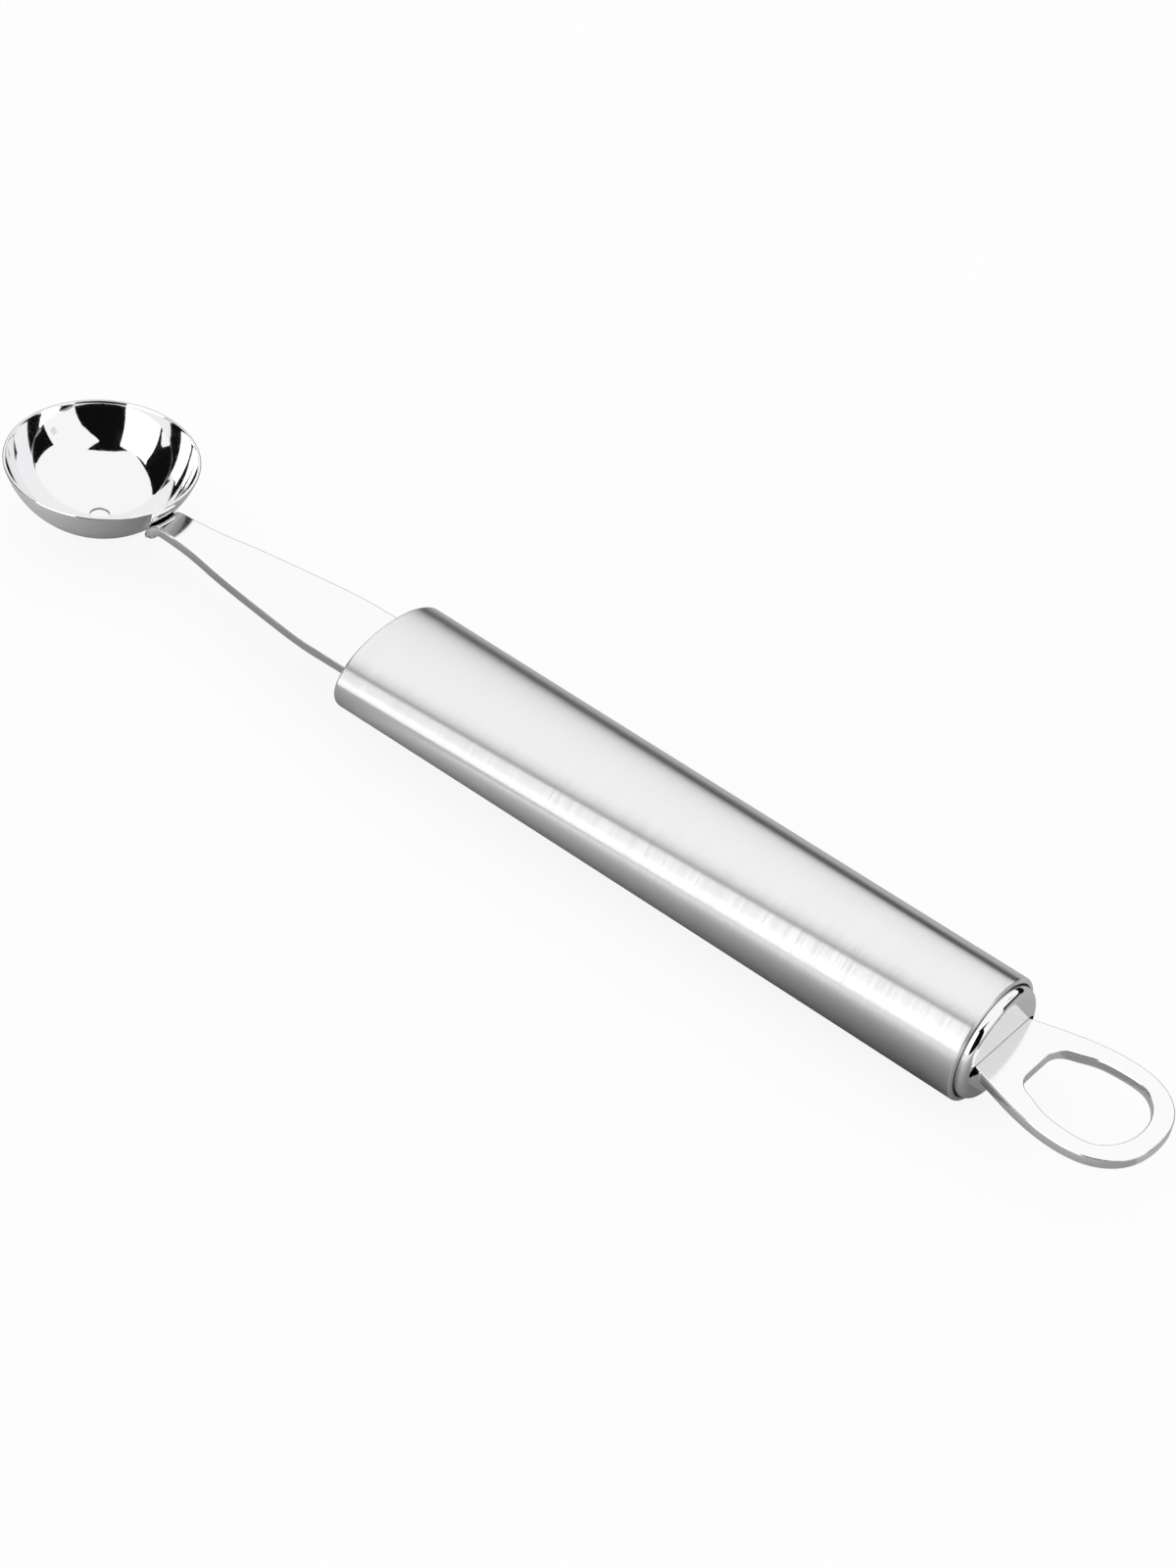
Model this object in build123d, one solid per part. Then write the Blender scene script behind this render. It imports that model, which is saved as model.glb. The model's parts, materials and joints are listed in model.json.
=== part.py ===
from build123d import *
import os
from math import acos, asin, cos, degrees, radians, sin, sqrt, tan

# A melon baller: a pressed steel scoop on a stamped shank, an oval-mouthed tube handle,
# a turned end cap and a flat hanging loop. All sizes are in millimetres.
# The pieces are first laid out from the middle of the tube's mouth, with the handle's
# axis along X, the scoop towards -X and the loop towards +X. At the end they are moved
# so that the origin is below the middle of the whole tool, level with its lowest point.

# Scoop
SCOOP_RIM_RADIUS = 15.0
SCOOP_DEPTH = 11.2
SCOOP_WALL = 0.5
SCOOP_RIM_HEIGHT = 3.2
SCOOP_REACH = 57.7
RIM_OUTER_ROUND = 0.2
RIM_INNER_ROUND = 0.1
DRAIN_RADIUS = 1.5
DRAIN_ROUND = 0.1

# Shank: a sheet blade from the tube to the scoop, a formed tongue under the scoop
# and a straight tang inside the tube
SHANK_THICKNESS = 1.6
BLADE_DROOP = 1.45
BLADE_ROOT_WIDTH = 14.2
BLADE_NECK_WIDTH = 5.5
BLADE_EDGE_ROUND = 0.2
BEND_RADIUS = 3.0
TONGUE_DIP = 45.5
TONGUE_CORNER_RADIUS = 2.0
TANG_WIDTH = 10.0
TANG_LENGTH = 38.0
# How far along the blade, from its root to its neck, and how far down from the root's
# width to the neck's width each point of its edge lies
BLADE_EDGE_SHARES = ((0.18, 0.0), (0.36, 0.13), (0.55, 0.38), (0.73, 0.66))
BLADE_END_SLOPE_SHARE = 0.35

# Handle tube: oval at the mouth, round at the rear
TUBE_LENGTH = 108.1
TUBE_WALL = 0.7
MOUTH_HALF_WIDTH = 11.7
MOUTH_HALF_HEIGHT = 6.8
REAR_RADIUS = 9.6
MOUTH_LIP_ROUND = 0.55
REAR_LIP_ROUND = 0.45

# Plug in the tube's mouth, the pin behind it and the plastic socket that holds the tang
PLUG_THICKNESS = 3.0
SHANK_PIN_RADIUS = 1.5
SOCKET_LENGTH = 38.0

# End cap
CAP_RADIUS = 8.6
CAP_PROTRUSION = 1.55
CAP_SHOULDER_ROUND = 1.2
CAP_WEB = 3.2
CAP_SPIGOT_LENGTH = 8.0
CAP_BORE_RADIUS = 7.2
CAP_SLOT_SLACK = 1.0
SEAL_WIDTH = 1.0
SEAL_DEPTH = 0.8
SEAL_RECESS = 0.25

# Hanging loop
LOOP_THICKNESS = 1.7
LOOP_LENGTH = 25.35
LOOP_HALF_WIDTH = 10.05
LOOP_ROOT_HALF_WIDTH = 6.55
LOOP_ROOT_FLARE = 18.0
LOOP_RIM = 2.9
LOOP_HOLE_START = 5.8
LOOP_HOLE_ROOT_HALF_WIDTH = 4.1
LOOP_HOLE_FLARE = 32.0
LOOP_HOLE_CORNER_RADIUS = 3.0
LOOP_EDGE_ROUND = 0.3
LOOP_TANG_STEP = 0.1
LOOP_PIN_RADIUS = 1.25
# Along the loop or its hole from root to tip, and out from the middle to the half width
LOOP_EDGE_SHARES = ((0.285, 0.884), (0.58, 1.0), (0.82, 0.872), (0.95, 0.555))
LOOP_HOLE_SHARES = ((0.14, 0.755), (0.32, 0.93), (0.55, 1.0), (0.78, 0.938), (0.93, 0.61))

# Clearances and overrun
FIT_CLEARANCE = 0.05
SLOT_CLEARANCE = 0.1
PIN_END_CLEARANCE = 0.25
OVERRUN = 2.0

# Worked out from the sizes above
sphere_radius = (SCOOP_RIM_RADIUS**2 + SCOOP_DEPTH**2) / (2 * SCOOP_DEPTH)
sphere_height = SCOOP_RIM_HEIGHT + sphere_radius - SCOOP_DEPTH
plug_front = MOUTH_LIP_ROUND
plug_rear = plug_front + PLUG_THICKNESS
shank_pin_x = plug_rear + SHANK_PIN_RADIUS + FIT_CLEARANCE
socket_front = shank_pin_x + SHANK_PIN_RADIUS + FIT_CLEARANCE
tang_end = plug_front + TANG_LENGTH
cap_face = TUBE_LENGTH + CAP_PROTRUSION
cap_inside = cap_face - CAP_WEB
loop_pin_x = cap_inside - LOOP_PIN_RADIUS - FIT_CLEARANCE
loop_tang_end = loop_pin_x - LOOP_PIN_RADIUS - LOOP_PIN_RADIUS
seal_rear = TUBE_LENGTH - SEAL_RECESS
seal_front = seal_rear - SEAL_WIDTH


def tube_half_sizes(x, inset):
    """Half width and half height of the tube's oval at x, drawn in by inset."""
    share = x / TUBE_LENGTH
    half_width = MOUTH_HALF_WIDTH * (1 - share) + REAR_RADIUS * share
    half_height = MOUTH_HALF_HEIGHT * (1 - share) + REAR_RADIUS * share
    return half_width - inset, half_height - inset


def tube_body(x_front, x_rear, inset):
    """The solid that fills the tube's outer form between two stations."""
    ovals = []
    for x in (x_front, x_rear):
        half_width, half_height = tube_half_sizes(x, inset)
        station = Plane((x, 0, 0), x_dir=(0, 1, 0), z_dir=(1, 0, 0))
        ovals.append((station * Ellipse(half_width, half_height)).face())
    return loft(ovals, ruled=True)


def slab(x_front, x_rear, width, height):
    """A block along the handle's axis."""
    length = x_rear - x_front
    return Pos(x_front + length / 2, 0, 0) * Box(length, width, height)


def make_scoop_bowl():
    """A cap of a sphere with an even wall, a ground rim and a drain hole."""
    inner_radius = sphere_radius - SCOOP_WALL
    drop = sphere_radius - SCOOP_DEPTH
    outer_start = -degrees(acos(DRAIN_RADIUS / sphere_radius))
    outer_end = -degrees(asin(drop / sphere_radius))
    inner_start = -degrees(acos(DRAIN_RADIUS / inner_radius))
    inner_end = -degrees(asin(drop / inner_radius))
    outer = CenterArc((0, 0), sphere_radius, outer_start, outer_end - outer_start)
    inner = CenterArc((0, 0), inner_radius, inner_start, inner_end - inner_start)
    rim = Line(outer @ 1, inner @ 1)
    drain = Line(inner @ 0, outer @ 0)
    profile = make_face([outer, rim, inner, drain])
    corners = profile.vertices().sort_by(Axis.Y)
    profile = fillet(corners[-2:].sort_by(Axis.X)[-1], RIM_OUTER_ROUND)
    corners = profile.vertices().sort_by(Axis.Y)
    profile = fillet(corners[-3:].sort_by(Axis.X)[0], RIM_INNER_ROUND)
    corners = profile.vertices().sort_by(Axis.X)
    profile = fillet(corners[:2], DRAIN_ROUND)
    bowl = revolve(Plane.XZ * profile, Axis.Z)
    return Pos(-SCOOP_REACH, 0, sphere_height) * bowl


def make_shank():
    """Blade and tongue in the drooping plane of the blade, then the level tang."""
    top = SHANK_THICKNESS / 2
    # The scoop's centre as the drooping blade sees it, from its root's top edge
    droop = radians(BLADE_DROOP)
    reach = SCOOP_REACH + plug_front
    rise = sphere_height - top
    centre_x = rise * sin(droop) - reach * cos(droop)
    centre_z = rise * cos(droop) + reach * sin(droop)
    # The bend's round top touches the scoop's sphere, so that the tongue lies against it
    bend_z = -BEND_RADIUS
    bend_x = centre_x + sqrt((sphere_radius + BEND_RADIUS) ** 2 - (centre_z - bend_z) ** 2)
    dip = degrees(asin((centre_z - bend_z) / (sphere_radius + BEND_RADIUS)))

    # Blade: straight sides that spread and level off towards the tube
    half_root = BLADE_ROOT_WIDTH / 2
    half_neck = BLADE_NECK_WIDTH / 2
    edge_points = [(bend_x * along, half_root + (half_neck - half_root) * down)
                   for along, down in BLADE_EDGE_SHARES]
    slope = BLADE_END_SLOPE_SHARE * (half_root - half_neck) / abs(bend_x)
    side = Spline(*edge_points, (bend_x, half_neck), tangents=[(-1, 0), (-1, -slope)])
    straight = Line((OVERRUN, half_root), edge_points[0])
    blade_end = Line((bend_x, half_neck), (bend_x, -half_neck))
    mirrored = [mirror(line, Plane.XZ) for line in (straight, side)]
    root_end = Line((OVERRUN, half_root), (OVERRUN, -half_root))
    blade = extrude(make_face([straight, side, blade_end, *mirrored, root_end]), -SHANK_THICKNESS)
    # Its long edges lie off the middle line, unlike those of its two ends
    long_edges = blade.edges().filter_by(lambda edge: abs(edge.center().Y) > BLADE_EDGE_ROUND)
    blade = fillet(long_edges.filter_by(Axis.Z, reverse=True), BLADE_EDGE_ROUND)

    # Bend and tongue: a side profile turned about the scoop's centre line
    outer_bend = BEND_RADIUS
    inner_bend = BEND_RADIUS - SHANK_THICKNESS
    x_out = bend_x - centre_x
    z_out = bend_z - centre_z
    tip_far = sphere_radius + SHANK_THICKNESS
    top_lap = Line((x_out + OVERRUN, z_out + outer_bend), (x_out, z_out + outer_bend))
    low_lap = Line((x_out + OVERRUN, z_out + inner_bend), (x_out, z_out + inner_bend))
    top_bend = CenterArc((x_out, z_out), outer_bend, 90, 90 - dip)
    low_bend = CenterArc((x_out, z_out), inner_bend, 90, 90 - dip)
    top_tongue = CenterArc((0, 0), sphere_radius, -dip, dip - TONGUE_DIP)
    low_tongue = CenterArc((0, 0), tip_far, -dip, dip - TONGUE_DIP)
    start = Line(top_lap @ 0, low_lap @ 0)
    tip = Line(top_tongue @ 1, low_tongue @ 1)
    profile = make_face([start, top_lap, top_bend, top_tongue, tip, low_tongue, low_bend, low_lap])
    turned = revolve(Plane.XZ * profile, Axis.Z)
    tip_x = sphere_radius * cos(radians(TONGUE_DIP))
    strip = Rectangle(2 * (x_out + OVERRUN - tip_x), BLADE_NECK_WIDTH)
    strip = fillet(strip.vertices().sort_by(Axis.X)[:2], TONGUE_CORNER_RADIUS)
    column = Pos(x_out + OVERRUN, 0, -tip_far) * extrude(strip, sphere_radius)
    tongue = Pos(centre_x, 0, centre_z) * (turned & column)

    hang = Pos(plug_front, 0, top) * Rot(0, -BLADE_DROOP, 0)
    drooping = hang * (blade + tongue)
    drooping -= slab(plug_front, plug_front + 2 * OVERRUN, 2 * BLADE_ROOT_WIDTH, 2 * OVERRUN)
    tang = slab(plug_front, tang_end, TANG_WIDTH, SHANK_THICKNESS)
    pin_hole = Pos(shank_pin_x, 0, 0) * Cylinder(SHANK_PIN_RADIUS + FIT_CLEARANCE, 2 * SHANK_THICKNESS)
    return drooping + tang - pin_hole


def make_handle_tube():
    """The tube, with both outer lips rounded."""
    body = tube_body(0, TUBE_LENGTH, 0)
    ends = body.edges().sort_by(Axis.X)
    body = fillet(ends[0], MOUTH_LIP_ROUND)
    body = fillet(body.edges().sort_by(Axis.X)[-1], REAR_LIP_ROUND)
    return body - tube_body(0, TUBE_LENGTH, TUBE_WALL)


def make_front_plug():
    """The oval plate that closes the mouth round the tang."""
    plug = tube_body(plug_front, plug_rear, TUBE_WALL + FIT_CLEARANCE)
    slot_height = SHANK_THICKNESS + 2 * SLOT_CLEARANCE
    return plug - slab(0, plug_rear + OVERRUN, TANG_WIDTH + 2 * SLOT_CLEARANCE, slot_height)


def make_cross_pin(x, radius, half_length):
    """An upright pin through a tang."""
    return Pos(x, 0, 0) * Cylinder(radius, 2 * half_length)


def make_tang_socket():
    """The moulded body that fills the tube round the tang."""
    rear = socket_front + SOCKET_LENGTH
    socket = tube_body(socket_front, rear, TUBE_WALL + FIT_CLEARANCE)
    slot_height = SHANK_THICKNESS + 2 * SLOT_CLEARANCE
    slot_end = tang_end + SLOT_CLEARANCE
    return socket - slab(0, slot_end, TANG_WIDTH + 2 * SLOT_CLEARANCE, slot_height)


def axial_cylinder(x_front, x_rear, radius):
    """A cylinder along the handle's axis."""
    length = x_rear - x_front
    return Pos(x_front + length / 2, 0, 0) * Rot(0, 90, 0) * Cylinder(radius, length)


def make_end_cap():
    """Polished head, seal groove and hollow spigot, with a slot for the loop."""
    neck_radius = REAR_RADIUS - TUBE_WALL - SEAL_DEPTH
    head = axial_cylinder(seal_rear, cap_face, CAP_RADIUS)
    head = fillet(head.edges().filter_by(GeomType.CIRCLE).sort_by(Axis.X)[-1], CAP_SHOULDER_ROUND)
    neck = axial_cylinder(seal_front, seal_rear, neck_radius)
    spigot = tube_body(TUBE_LENGTH - CAP_SPIGOT_LENGTH, seal_front, TUBE_WALL + FIT_CLEARANCE)
    cap = head + neck + spigot
    cap -= axial_cylinder(TUBE_LENGTH - CAP_SPIGOT_LENGTH - OVERRUN, cap_inside, CAP_BORE_RADIUS)
    slot_height = LOOP_THICKNESS - LOOP_TANG_STEP
    slot_length = 2 * (LOOP_ROOT_HALF_WIDTH + CAP_SLOT_SLACK)
    slot_plane = Plane((cap_inside - OVERRUN, 0, 0), x_dir=(0, 1, 0), z_dir=(1, 0, 0))
    slot = slot_plane * SlotOverall(slot_length, slot_height)
    return cap - extrude(slot, CAP_WEB + 2 * OVERRUN)


def make_cap_seal():
    """The rubber ring in the cap's groove, against the tube's bore."""
    ring = tube_body(seal_front, seal_rear, TUBE_WALL + FIT_CLEARANCE)
    neck_radius = REAR_RADIUS - TUBE_WALL - SEAL_DEPTH
    return ring - axial_cylinder(seal_front - OVERRUN, seal_rear + OVERRUN, neck_radius + FIT_CLEARANCE)


def egg_face(start, length, root_half_width, half_width, flare, edge_shares):
    """A flat face with a straight root and an egg-shaped edge, the same on both sides."""
    points = [(start + length * along, half_width * out) for along, out in edge_shares]
    leaving = (1, tan(radians(flare)))
    root = (start, root_half_width)
    tip = (start + length, 0)
    side = Spline(root, *points, tip, tangents=[leaving, (0, -1)])
    return make_face([side, mirror(side, Plane.XZ), Line(root, (start, -root_half_width))])


def make_hanging_loop():
    """A flat egg-shaped plate with a D-shaped hole, and a thinner tang in the cap."""
    outline = egg_face(0, LOOP_LENGTH, LOOP_ROOT_HALF_WIDTH, LOOP_HALF_WIDTH,
                       LOOP_ROOT_FLARE, LOOP_EDGE_SHARES)
    hole_length = LOOP_LENGTH - LOOP_RIM - LOOP_HOLE_START
    hole = egg_face(LOOP_HOLE_START, hole_length, LOOP_HOLE_ROOT_HALF_WIDTH,
                    LOOP_HALF_WIDTH - LOOP_RIM, LOOP_HOLE_FLARE, LOOP_HOLE_SHARES)
    hole = fillet(hole.vertices().sort_by(Axis.X)[:2], LOOP_HOLE_CORNER_RADIUS)
    plate = extrude(outline - hole, LOOP_THICKNESS)
    # Its root, flat against the cap, keeps its edges sharp
    worn_edges = plate.edges().filter_by(lambda edge: edge.center().X > LOOP_EDGE_ROUND)
    plate = fillet(worn_edges.filter_by(Axis.Z, reverse=True), LOOP_EDGE_ROUND)
    plate = Pos(cap_face, 0, -LOOP_THICKNESS / 2) * plate
    tang_height = LOOP_THICKNESS - 2 * LOOP_TANG_STEP
    tang = slab(loop_tang_end, cap_face + LOOP_TANG_STEP, 2 * LOOP_ROOT_HALF_WIDTH, tang_height)
    pin_hole = Pos(loop_pin_x, 0, 0) * Cylinder(LOOP_PIN_RADIUS + FIT_CLEARANCE, 2 * LOOP_THICKNESS)
    return plate + tang - pin_hole


shank_pin_reach = tube_half_sizes(shank_pin_x, TUBE_WALL)[1] - PIN_END_CLEARANCE
loop_pin_reach = CAP_BORE_RADIUS - PIN_END_CLEARANCE

pieces = {
    "scoop_bowl": make_scoop_bowl(),
    "shank": make_shank(),
    "handle_tube": make_handle_tube(),
    "front_plug": make_front_plug(),
    "shank_pin": make_cross_pin(shank_pin_x, SHANK_PIN_RADIUS, shank_pin_reach),
    "tang_socket": make_tang_socket(),
    "end_cap": make_end_cap(),
    "cap_seal": make_cap_seal(),
    "hanging_loop": make_hanging_loop(),
    "loop_pin": make_cross_pin(loop_pin_x, LOOP_PIN_RADIUS, loop_pin_reach),
}

# The tool lies on its tube, so that the origin is level with its lowest point
box = Compound(list(pieces.values())).bounding_box()
to_origin = Pos(-box.center().X, 0, -box.min.Z)

os.makedirs("parts", exist_ok=True)
for name, piece in pieces.items():
    export_step(to_origin * piece, f"parts/{name}.step")
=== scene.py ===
"""Looks of a steel melon baller: its visible steel pieces, their finishes and a plain studio."""

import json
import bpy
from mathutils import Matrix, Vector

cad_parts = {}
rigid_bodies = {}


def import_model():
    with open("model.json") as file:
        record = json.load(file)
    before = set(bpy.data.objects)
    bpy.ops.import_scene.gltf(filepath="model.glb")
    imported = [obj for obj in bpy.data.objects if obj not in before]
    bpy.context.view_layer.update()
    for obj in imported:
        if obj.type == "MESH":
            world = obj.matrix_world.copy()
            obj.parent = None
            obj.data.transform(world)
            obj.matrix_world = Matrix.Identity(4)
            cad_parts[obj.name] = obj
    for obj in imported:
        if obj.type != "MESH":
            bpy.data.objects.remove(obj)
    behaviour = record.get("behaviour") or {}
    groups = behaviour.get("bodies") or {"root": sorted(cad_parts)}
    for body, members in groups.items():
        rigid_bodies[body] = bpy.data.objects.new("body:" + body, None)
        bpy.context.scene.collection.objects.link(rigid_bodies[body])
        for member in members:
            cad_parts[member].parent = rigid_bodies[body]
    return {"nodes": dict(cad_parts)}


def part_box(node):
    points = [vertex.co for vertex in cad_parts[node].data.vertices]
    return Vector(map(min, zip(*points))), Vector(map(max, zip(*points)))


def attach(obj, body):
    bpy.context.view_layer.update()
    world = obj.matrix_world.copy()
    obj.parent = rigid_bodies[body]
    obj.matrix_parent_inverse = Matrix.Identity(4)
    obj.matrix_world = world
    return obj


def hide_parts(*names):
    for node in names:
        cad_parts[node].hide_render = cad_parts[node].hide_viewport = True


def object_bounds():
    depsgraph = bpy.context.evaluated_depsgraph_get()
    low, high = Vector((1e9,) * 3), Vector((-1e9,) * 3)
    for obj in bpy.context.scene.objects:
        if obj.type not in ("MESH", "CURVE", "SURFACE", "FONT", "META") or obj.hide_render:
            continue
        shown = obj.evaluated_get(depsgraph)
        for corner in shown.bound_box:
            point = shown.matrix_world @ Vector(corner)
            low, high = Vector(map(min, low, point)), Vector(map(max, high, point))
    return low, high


bl_info = {
    "name": "Melon baller",
    "version": (1, 0, 0),
    "blender": (4, 5, 0),
    "location": "3D View > Sidebar > Melon baller",
    "description": "Builds scoop, shank, handle, end cap and hanging loop around the packed frame",
    "category": "Object",
}

from math import acos, asin, atan2, copysign, cos, pi, radians, sin, sqrt, tan

import bmesh
import bpy
import numpy as np
from bpy.props import FloatProperty, FloatVectorProperty, PointerProperty
from bpy.types import Operator, Panel, PropertyGroup
from mathutils import Matrix, Vector

for leftover in list(bpy.data.objects):
    bpy.data.objects.remove(leftover)

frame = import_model()
cad_low, cad_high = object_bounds()

MM = 0.001
# How close two places are to be one place, and to be on the same edge
TOUCH = 1e-6
NEAR = 0.01 * MM
# Edges sharper than the first are worn round, and those sharper than the second are shaded sharp
WORN_ANGLE = radians(60)
CREASE = radians(40)
WHITE = (1.0, 1.0, 1.0, 1.0)

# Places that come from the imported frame
tube_low, tube_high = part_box("handle_tube")
scoop_low, scoop_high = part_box("scoop_bowl")
cap_low, cap_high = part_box("end_cap")
loop_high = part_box("hanging_loop")[1]
AXIS_Z = (tube_low.z + tube_high.z) / 2
MOUTH_X = tube_low.x
REAR_X = tube_high.x
CAP_FACE_X = cap_high.x
SCOOP_X = (scoop_low.x + scoop_high.x) / 2
RIM_Z = scoop_high.z


def linear(hex_colour):
    """An sRGB hex colour as linear red, green, blue and alpha."""
    channels = [int(hex_colour[i:i + 2], 16) / 255 for i in (1, 3, 5)]
    return [c / 12.92 if c <= 0.04045 else ((c + 0.055) / 1.055) ** 2.4 for c in channels] + [1.0]


def length_setting(name, millimetres, description):
    """A setting that holds a length."""
    return FloatProperty(name=name, description=description, default=millimetres * MM,
                         unit="LENGTH")


def angle_setting(name, degrees, description):
    """A setting that holds an angle."""
    return FloatProperty(name=name, description=description, default=radians(degrees),
                         unit="ROTATION")


def share_setting(name, share, description):
    """A setting that holds a share from 0 to 1."""
    return FloatProperty(name=name, description=description, default=share, min=0, max=1,
                         subtype="FACTOR")


def colour_setting(name, hex_colour, description):
    """A setting that holds a colour, whose default is given in sRGB."""
    return FloatVectorProperty(name=name, description=description, default=linear(hex_colour),
                               subtype="COLOR", size=4, min=0, max=1)


class ScoopSettings(PropertyGroup):
    """Sizes of the scoop"""

    rim_radius: length_setting("Rim radius", 14.99, "Outer radius of the scoop at its rim")
    depth: length_setting("Depth", 11.2, "Height of the scoop from its lowest point to its rim")
    wall: length_setting("Wall", 0.5, "Thickness of the scoop's sheet")
    drain_radius: length_setting("Drain radius", 1.5, "Radius of the drain hole")
    rim_round: length_setting("Outer rim round", 0.33, "Radius of the rim's outer edge")
    rim_inner_round: length_setting("Inner rim round", 0.1, "Radius of the rim's inner edge")
    drain_round: length_setting("Drain round", 0.1, "Radius of the drain hole's edges")


class ShankSettings(PropertyGroup):
    """Sizes of the shank"""

    thickness: length_setting("Thickness", 1.6, "Thickness of the shank's sheet")
    droop: angle_setting("Droop", 1.45, "How far the blade dips towards the scoop")
    root_width: length_setting("Root width", 14.2, "Width of the blade at the handle")
    neck_width: length_setting("Neck width", 5.5, "Width of the blade at the scoop")
    bend_radius: length_setting("Bend radius", 3.0, "Outer radius of the bend down to the tongue")
    tongue_dip: angle_setting("Tongue dip", 47.2, "How far below the scoop's centre it goes")
    tongue_corner: length_setting("Tongue corner", 2.0, "Radius of the tongue's two corners")
    tip_round: length_setting("Tip round", 0.8, "Width of the tongue's worn edge")
    tip_wear: share_setting("Tip wear", 0.9, "How far the tongue's edge is worn away")
    edge_round: length_setting("Edge round", 0.35, "Radius of the shank's long edges")
    tang_width: length_setting("Tang width", 10.0, "Width of the tang in the handle")
    tang_length: length_setting("Tang length", 38.0, "Length of the tang from the blade's root")
    pin_hole: length_setting("Pin hole", 1.55, "Radius of the hole for the pin in the tang")


class HandleSettings(PropertyGroup):
    """Sizes of the handle's tube"""

    wall: length_setting("Wall", 0.7, "Thickness of the tube's wall")
    mouth_half_width: length_setting("Mouth half width", 11.7, "Half the width of the oval mouth")
    mouth_half_height: length_setting("Mouth half height", 6.8, "Half the height of the oval mouth")
    rear_radius: FloatProperty(
        name="Rear radius", description="Radius of the round rear end",
        default=(tube_high.z - tube_low.z) / 2, unit="LENGTH")
    mouth_round: length_setting("Mouth round", 0.55, "Radius of the mouth's outer lip")
    rear_round: length_setting("Rear round", 0.45, "Radius of the rear end's outer lip")


class CapSettings(PropertyGroup):
    """Sizes of the end cap"""

    radius: length_setting("Radius", 8.6, "Radius of the cap's head")
    shoulder: length_setting("Shoulder", 1.2, "Radius of the head's polished shoulder")
    neck_radius: length_setting("Neck radius", 8.1, "Radius of the groove that holds the seal")
    gap: length_setting("Gap", 0.05, "Play between the spigot and the tube's bore")
    bore_radius: length_setting("Bore radius", 7.2, "Radius of the hollow in the spigot")
    web: length_setting("Web", 3.2, "Thickness of the wall behind the cap's face")
    slot_length: length_setting("Slot length", 15.1, "Length of the slot for the loop")
    slot_height: length_setting("Slot height", 1.9, "Height of the slot for the loop")


class LoopSettings(PropertyGroup):
    """Sizes of the hanging loop"""

    thickness: length_setting("Thickness", 1.7, "Thickness of the loop's plate")
    half_width: length_setting("Half width", 10.05, "Half the loop's greatest width")
    root_half_width: length_setting("Root half width", 6.55, "Half the loop's width at the cap")
    flare: angle_setting("Flare", 18.0, "How far the loop's sides spread at the cap")
    rim: length_setting("Rim", 2.9, "Width of metal round the hole")
    hole_start: length_setting("Hole start", 5.8, "Distance from the cap to the hole")
    hole_half_width: length_setting("Hole half width", 4.1, "Half the hole's straight side")
    hole_flare: angle_setting("Hole flare", 32.0, "How far the hole's sides spread there")
    hole_corner: length_setting("Hole corner", 3.0, "Radius of the hole's two corners")
    edge_round: length_setting("Edge round", 0.28, "Radius of the plate's edges")
    tang_length: length_setting("Tang length", 7.0, "Length of the tang in the cap")
    tang_step: length_setting("Tang step", 0.1, "How much thinner the tang is on each side")
    pin_hole: length_setting("Pin hole", 1.3, "Radius of the hole for the pin in the tang")


class FinishSettings(PropertyGroup):
    """Colours of the finishes"""

    mirror_steel: colour_setting("Mirror steel", "#F6F6F7", "Colour of the scoop and the end cap")
    polished_steel: colour_setting("Polished steel", "#FAFAFB", "Colour of the shank and the loop")
    satin_steel: colour_setting("Satin steel", "#F9F9FA", "Colour of the handle's tube")
    plain_steel: colour_setting("Plain steel", "#B8B8BA", "Colour of the plug and the pins")
    socket_plastic: colour_setting("Socket plastic", "#26272A", "Colour of the plastic at the tang")
    seal_rubber: colour_setting("Seal rubber", "#0C0C0D", "Colour of the cap's seal")


class StudioSettings(PropertyGroup):
    """Floor, light and camera"""

    floor_colour: colour_setting("Floor", "#F4F4F4", "Colour of the floor")
    floor_glow: share_setting("Floor glow", 0.88, "Share of even white in the floor as it is seen")
    # Painted shade: the papers under the scoop and the blade are greyer than the near paper, for
    # the shade that the scoop and the blade throw on the floor
    scoop_painted_shade: colour_setting("Scoop paper", "#C8C8C8", "Colour of the paper under the scoop")
    blade_painted_shade: colour_setting("Blade paper", "#939393", "Colour of the paper under the blade")
    near_paper: colour_setting("Near paper", "#EFEFEF", "Colour of the papers in front of the tool")
    # Painted shadow: the tube's and the loop's shadow on the floor, painted into the papers right
    # under them, which fade from it to the near paper's colour
    tube_painted_shadow: colour_setting("Tube shade", "#666666", "Colour of the paper right under the tube")
    loop_painted_shadow: colour_setting("Loop shade", "#9C9C9C", "Colour of the paper right under the loop")
    far_paper: colour_setting("Far paper", "#B4B4B4", "Colour of the paper behind the tool")
    dark_card: colour_setting("Dark cards", "#0E0E0F", "Colour of the dark cards round the tool")
    grey_card: colour_setting("Grey card", "#989898", "Colour of the low card at the right")
    pale_card: colour_setting("Pale card", "#E4E4E4", "Colour of the small card close to the cap")
    panel_strength: FloatProperty(
        name="Panel strength", description="Brightness of the light panel", default=1.9, min=0)
    card_distance: FloatProperty(
        name="Card distance", description="Distance of the cards from the tool's middle",
        default=3.0, unit="LENGTH")
    camera_place: FloatVectorProperty(
        name="Camera place", description="Where the camera stands", subtype="TRANSLATION",
        unit="LENGTH", default=(0.231985, -0.342119, 0.369308))
    lens: FloatProperty(
        name="Lens", description="Focal length on a sensor 36 mm long", default=88.816,
        unit="CAMERA")


class BallerSettings(PropertyGroup):
    """All settings of the melon baller"""

    scoop: PointerProperty(type=ScoopSettings)
    shank: PointerProperty(type=ShankSettings)
    handle: PointerProperty(type=HandleSettings)
    cap: PointerProperty(type=CapSettings)
    loop: PointerProperty(type=LoopSettings)
    finish: PointerProperty(type=FinishSettings)
    studio: PointerProperty(type=StudioSettings)


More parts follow.
